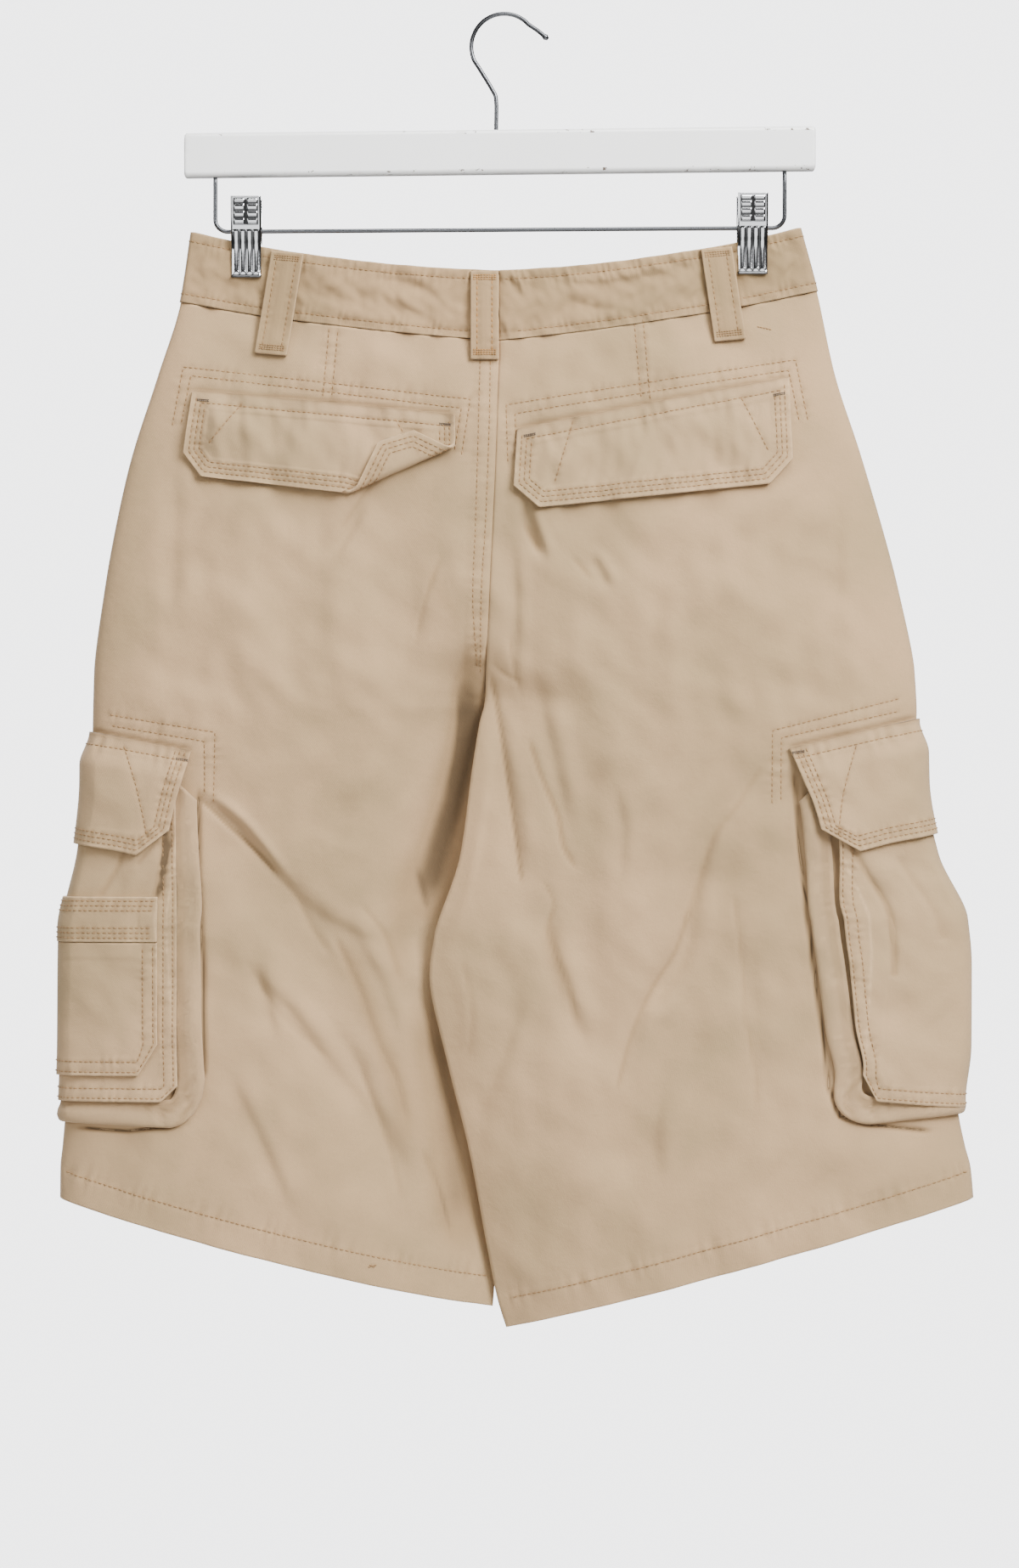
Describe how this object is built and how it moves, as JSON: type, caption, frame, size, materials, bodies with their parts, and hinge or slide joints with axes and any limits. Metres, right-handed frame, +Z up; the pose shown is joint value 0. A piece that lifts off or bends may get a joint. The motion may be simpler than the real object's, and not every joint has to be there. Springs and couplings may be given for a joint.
{
  "type": "cargo shorts on a clip hanger",
  "caption": "Knee-length cargo shorts with flapped back and side pockets, hung by the waistband from a wooden bar hanger with a wire hook, a cross rod and two sprung metal clips",
  "frame": {"origin": "top of the hook's inside, where a rail or peg carries it (mount hanger_hook)", "axes": "+Z up; -Y is where the back of the shorts faces, +Y where their front faces; +X is the wearer's right, along the hanger's bar"},
  "size_m": [0.5184, 0.0488, 0.7428],
  "materials": {
    "cloth": "washed cotton twill, matt",
    "button": "satin",
    "painted_wood": "white paint, worn at the edges",
    "chromed_steel": "polished"
  },
  "bodies": {
    "root": {"back_panel_left": "cloth", "back_panel_right": "cloth", "front_panel_left": "cloth", "front_panel_right": "cloth", "waistband_left": "cloth", "waistband_right": "cloth", "belt_loop_back_left": "cloth", "belt_loop_back_centre": "cloth", "belt_loop_back_right": "cloth", "belt_loop_front_left": "cloth", "belt_loop_front_right": "cloth", "back_flap_left": "cloth", "back_flap_right": "cloth", "cargo_gusset_left": "cloth", "cargo_gusset_right": "cloth", "cargo_face_left": "cloth", "cargo_face_right": "cloth", "cargo_flap_left": "cloth", "cargo_flap_right": "cloth", "patch_pocket_left": "cloth", "patch_band_left": "cloth", "fly_flap": "cloth", "waist_button": "button", "hanger_bar": "painted_wood", "hanger_hook": "chromed_steel", "hanger_rod": "chromed_steel", "clip_left_front_jaw": "chromed_steel", "clip_left_back_jaw": "chromed_steel", "clip_right_front_jaw": "chromed_steel", "clip_right_back_jaw": "chromed_steel"}
  },
  "joints": []
}
